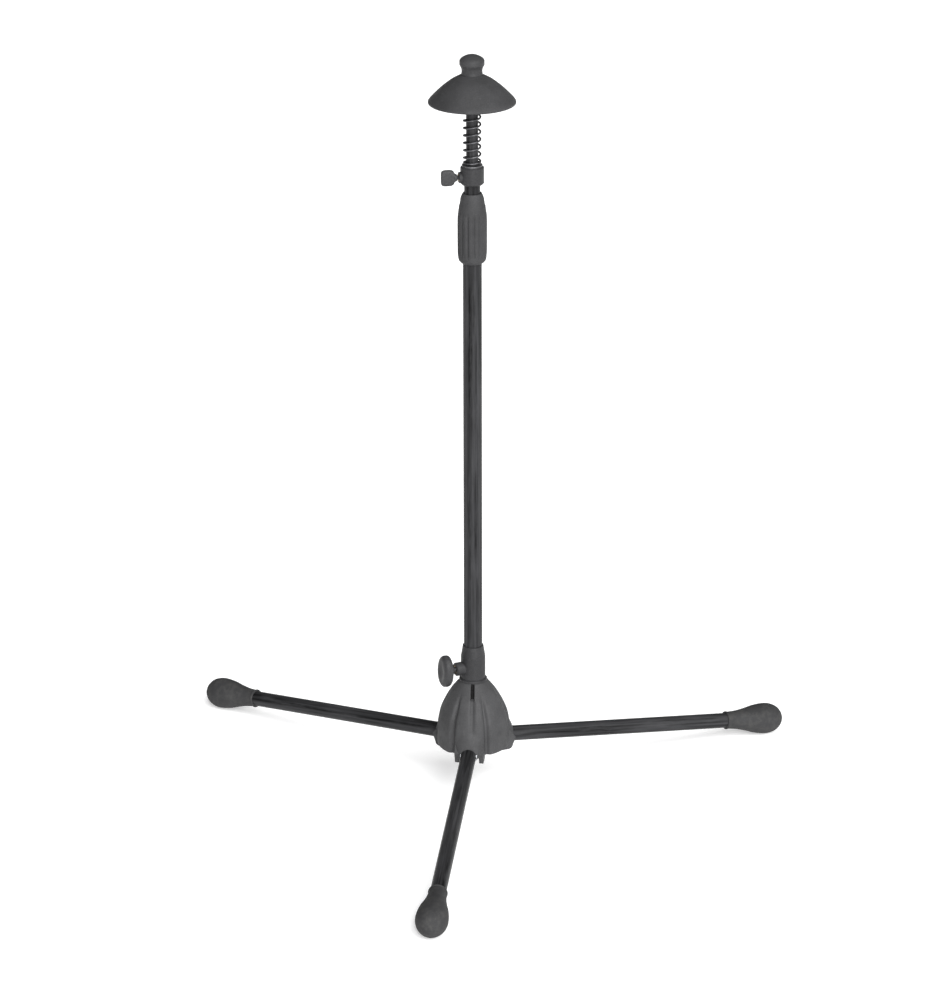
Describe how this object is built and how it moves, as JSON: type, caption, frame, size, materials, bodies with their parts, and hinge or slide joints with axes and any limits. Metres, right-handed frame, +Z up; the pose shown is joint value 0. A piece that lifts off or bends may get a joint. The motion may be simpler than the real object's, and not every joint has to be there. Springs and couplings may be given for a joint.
{
  "type": "brass instrument stand",
  "caption": "Tall tripod stand for a brass instrument: folding legs, telescoping shaft with twist clutch, and a sprung saucer and peg that hold the bell.",
  "frame": {"origin": "on the shaft's axis, at the level of the floor under the feet", "axes": "+Z up the shaft to the bell peg; -Y along the front leg; the other legs at 30 and 150 degrees from +X"},
  "size_m": [0.63, 0.5498, 0.787],
  "materials": {
    "hub_plastic": "moulded, fine matte texture",
    "collar_plastic": "moulded, fine matte texture",
    "tube_enamel": "gloss black enamel on steel tube",
    "rod_enamel": "gloss black enamel",
    "grip_plastic": "matte, fluted",
    "rest_plastic": "matte, soft touch",
    "foot_rubber": "matte rubber",
    "knob_plastic": "satin moulded",
    "screw_steel": "zinc plated",
    "spring_steel": "blackened spring wire",
    "insert_brass": "turned",
    "bush_nylon": "natural nylon",
    "cast_zinc": "as cast"
  },
  "bodies": {
    "hub": {"hub_housing": "hub_plastic", "guide_bush": "bush_nylon", "pivot_pins": "screw_steel", "neck_collar": "collar_plastic", "base_insert": "insert_brass"},
    "lower_shaft": {"lower_tube": "tube_enamel", "fold_plunger": "cast_zinc", "plunger_rivet": "screw_steel", "clutch_ferrule": "cast_zinc"},
    "clutch_collet": {"clutch_collet": "bush_nylon"},
    "clutch_sleeve": {"clutch_nut": "cast_zinc", "clutch_grip": "grip_plastic"},
    "upper_shaft": {"upper_tube": "tube_enamel", "tube_guide": "bush_nylon", "top_collar": "collar_plastic", "rod_bush": "bush_nylon", "rod_insert": "insert_brass", "lower_spring_seat": "screw_steel", "bell_spring": "spring_steel"},
    "rod_clamp_pad": {"rod_pad": "bush_nylon"},
    "rod_clamp_screw": {"rod_screw": "screw_steel", "rod_knob": "knob_plastic"},
    "base_clamp_pad": {"base_pad": "bush_nylon"},
    "base_clamp_screw": {"base_screw": "screw_steel", "base_knob": "knob_plastic"},
    "sprung_rod": {"bell_rod": "rod_enamel", "rod_plug": "cast_zinc", "rod_clip": "spring_steel", "upper_spring_seat": "screw_steel", "rest_washer": "screw_steel", "rest_screw": "screw_steel"},
    "bell_rest": {"bell_saucer": "rest_plastic", "bell_peg": "rest_plastic"},
    "leg_front": {"leg_tube_front": "tube_enamel", "leg_knuckle_front": "cast_zinc", "drive_pin_front": "screw_steel", "leg_rivet_front": "screw_steel", "foot_front": "foot_rubber"},
    "leg_right": {"leg_tube_right": "tube_enamel", "leg_knuckle_right": "cast_zinc", "drive_pin_right": "screw_steel", "leg_rivet_right": "screw_steel", "foot_right": "foot_rubber"},
    "leg_left": {"leg_tube_left": "tube_enamel", "leg_knuckle_left": "cast_zinc", "drive_pin_left": "screw_steel", "leg_rivet_left": "screw_steel", "foot_left": "foot_rubber"}
  },
  "joints": [
    {"name": "fold_front", "type": "hinge", "parent": "hub", "child": "leg_front", "pos_m": [0, -0.027, 0.05412], "axis": [1, 0, 0], "range_deg": [0, 83.07]},
    {"name": "fold_right", "type": "hinge", "parent": "hub", "child": "leg_right", "pos_m": [0.02338, 0.0135, 0.05412], "axis": [-0.5, 0.866, 0], "range_deg": [0, 83.07]},
    {"name": "fold_left", "type": "hinge", "parent": "hub", "child": "leg_left", "pos_m": [-0.02338, 0.0135, 0.05412], "axis": [-0.5, -0.866, 0], "range_deg": [0, 83.07]},
    {"name": "shaft_lift", "type": "slide", "parent": "hub", "child": "lower_shaft", "axis": [0, 0, 1], "range_m": [0, 0.01725]},
    {"name": "clutch_travel", "type": "slide", "parent": "lower_shaft", "child": "clutch_collet", "axis": [0, 0, 1], "range_m": [0, 0.0015]},
    {"name": "clutch_twist", "type": "hinge", "parent": "clutch_collet", "child": "clutch_sleeve", "pos_m": [0, 0, 0.6], "axis": [0, 0, 1], "range_deg": [0, 270]},
    {"name": "height", "type": "slide", "parent": "lower_shaft", "child": "upper_shaft", "axis": [0, 0, 1], "range_m": [-0.007, 0.34]},
    {"name": "rod_pad_travel", "type": "slide", "parent": "upper_shaft", "child": "rod_clamp_pad", "axis": [-0.9511, -0.309, 0], "range_m": [0, 0.0012]},
    {"name": "rod_screw_turn", "type": "hinge", "parent": "rod_clamp_pad", "child": "rod_clamp_screw", "pos_m": [0, 0, 0.6626], "axis": [-0.9511, -0.309, 0], "range_deg": [0, 540]},
    {"name": "base_pad_travel", "type": "slide", "parent": "hub", "child": "base_clamp_pad", "axis": [-0.866, -0.5, 0], "range_m": [0, 0.0015]},
    {"name": "base_screw_turn", "type": "hinge", "parent": "base_clamp_pad", "child": "base_clamp_screw", "pos_m": [0, 0, 0.1355], "axis": [-0.866, -0.5, 0], "range_deg": [0, 540]},
    {"name": "rod_press", "type": "slide", "parent": "upper_shaft", "child": "sprung_rod", "axis": [0, 0, 1], "range_m": [-0.018, 0], "stiffness_N_per_m": 1000, "springref_m": 0.005, "deforming": ["bell_spring"]},
    {"name": "rest_spin", "type": "hinge", "parent": "sprung_rod", "child": "bell_rest", "pos_m": [0, 0, 0.755], "axis": [0, 0, 1], "continuous": true}
  ],
  "couplings": [
    {"joint": "fold_right", "follows": "fold_front", "ratio": 1},
    {"joint": "fold_left", "follows": "fold_front", "ratio": 1},
    {"joint": "shaft_lift", "follows": "fold_front", "m_per_rad": 0.011891},
    {"joint": "clutch_twist", "follows": "clutch_travel", "rad_per_m": 3141.6},
    {"joint": "rod_screw_turn", "follows": "rod_pad_travel", "rad_per_m": 7854},
    {"joint": "base_screw_turn", "follows": "base_pad_travel", "rad_per_m": 6283.2}
  ]
}
